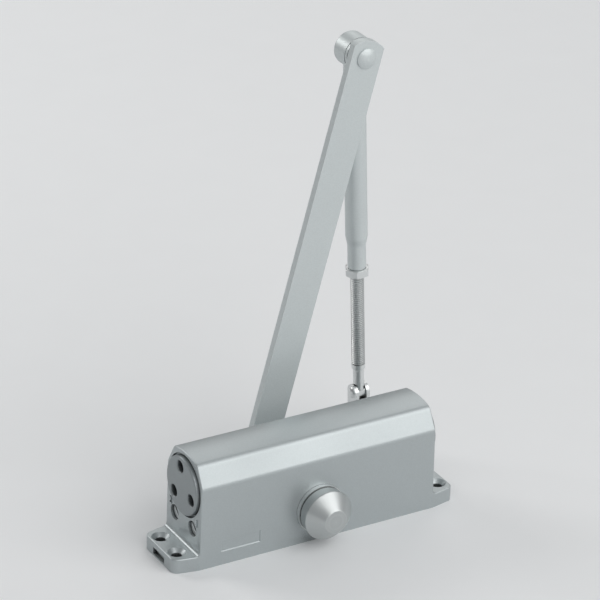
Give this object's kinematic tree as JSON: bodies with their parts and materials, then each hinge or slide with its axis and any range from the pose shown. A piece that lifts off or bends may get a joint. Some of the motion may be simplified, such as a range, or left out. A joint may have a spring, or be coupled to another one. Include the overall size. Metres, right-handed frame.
{
  "type": "overhead door closer",
  "caption": "Hydraulic overhead door closer: cast body with a sprung rack and pinion, a scissor arm with an adjustable forearm, and a swivelling frame shoe.",
  "frame": {"origin": "centre of the four body mounting holes, on the mounting face", "axes": "+X along the cylinder, away from the regulating valves; +Y along the pinion, towards the arm; +Z away from the mounting face"},
  "size_m": [0.1824, 0.1241, 0.2663],
  "materials": {
    "cast_body": "silver paint on die-cast aluminium",
    "end_plugs": "silver paint on steel, satin",
    "turned_cap": "turned and satin polished",
    "painted_arm": "silver paint on steel",
    "zinc_steel": "bright zinc plate",
    "machined_steel": "ground and oiled",
    "spring_steel": "dark oil tempered wire",
    "bearing_bronze": "plain bronze",
    "seal_rubber": "black nitrile rubber"
  },
  "bodies": {
    "housing": {"body_housing": "cast_body", "end_plug_left": "end_plugs", "end_plug_right": "end_plugs", "plug_seals": "seal_rubber", "bearing_covers": "zinc_steel", "shaft_seals": "seal_rubber", "thrust_washers": "bearing_bronze", "pinion_cap": "turned_cap", "return_spring": "spring_steel"},
    "piston": {"piston": "machined_steel", "piston_seal": "seal_rubber", "check_retainer": "machined_steel"},
    "ball": {"check_ball": "machined_steel"},
    "arm": {"pinion_shaft": "machined_steel", "main_arm": "painted_arm", "arm_washer": "zinc_steel", "arm_screw": "zinc_steel", "elbow_rivet": "painted_arm", "elbow_washer": "painted_arm"},
    "forearm": {"forearm_knuckle": "painted_arm", "elbow_bush": "bearing_bronze", "forearm_tube": "painted_arm"},
    "nut": {"lock_nut": "zinc_steel"},
    "rod": {"threaded_rod": "zinc_steel"},
    "yoke": {"shoe_yoke": "zinc_steel", "yoke_pin": "zinc_steel", "shoe_stud": "zinc_steel", "shoe_washer": "zinc_steel"},
    "shoe": {"shoe_plate": "painted_arm"},
    "closing_valve": {"closing_speed_valve": "zinc_steel", "closing_valve_seal": "seal_rubber"},
    "latching_valve": {"latching_speed_valve": "zinc_steel", "latching_valve_seal": "seal_rubber"}
  },
  "joints": [
    {"name": "arm_swing", "type": "hinge", "parent": "housing", "child": "arm", "pos_m": [0, 0.0477, 0.0203], "axis": [0, 1, 0], "range_deg": [0, 160], "stiffness_Nm_per_rad": 4, "springref_deg": -68.75},
    {"name": "piston_slide", "type": "slide", "parent": "housing", "child": "piston", "axis": [1, 0, 0], "range_m": [0, 0.02952], "deforming": ["return_spring"]},
    {"name": "check_ball_lift", "type": "slide", "parent": "piston", "child": "ball", "axis": [-1, 0, 0], "range_m": [0, 0.0018]},
    {"name": "elbow_swing", "type": "hinge", "parent": "arm", "child": "forearm", "pos_m": [0.06133, 0.06155, 0.25574], "axis": [0, -1, 0], "range_deg": [-5, 140]},
    {"name": "lock_nut_turn", "type": "hinge", "parent": "forearm", "child": "nut", "pos_m": [0.06906, 0.06155, 0.11746], "axis": [0.0558, 0, -0.9984], "continuous": true},
    {"name": "forearm_length", "type": "slide", "parent": "forearm", "child": "rod", "axis": [0.0558, 0, -0.9984], "range_m": [-0.04, 0.025]},
    {"name": "yoke_tilt", "type": "hinge", "parent": "rod", "child": "yoke", "pos_m": [0.07351, 0.06155, 0.03788], "axis": [0.9984, 0, 0.0558], "range_deg": [-90, 90]},
    {"name": "shoe_swivel", "type": "hinge", "parent": "yoke", "child": "shoe", "pos_m": [0.07494, 0.06155, 0.01227], "axis": [0.0558, 0, -0.9984], "continuous": true},
    {"name": "closing_valve_turn", "type": "hinge", "parent": "housing", "child": "closing_valve", "pos_m": [-0.075, -0.0103, 0.0218], "axis": [-1, 0, 0], "range_deg": [-180, 180]},
    {"name": "latching_valve_turn", "type": "hinge", "parent": "housing", "child": "latching_valve", "pos_m": [-0.075, 0.0103, 0.0218], "axis": [-1, 0, 0], "range_deg": [-180, 180]}
  ],
  "couplings": [
    {"joint": "piston_slide", "follows": "arm_swing", "m_per_rad": 0.0105}
  ]
}
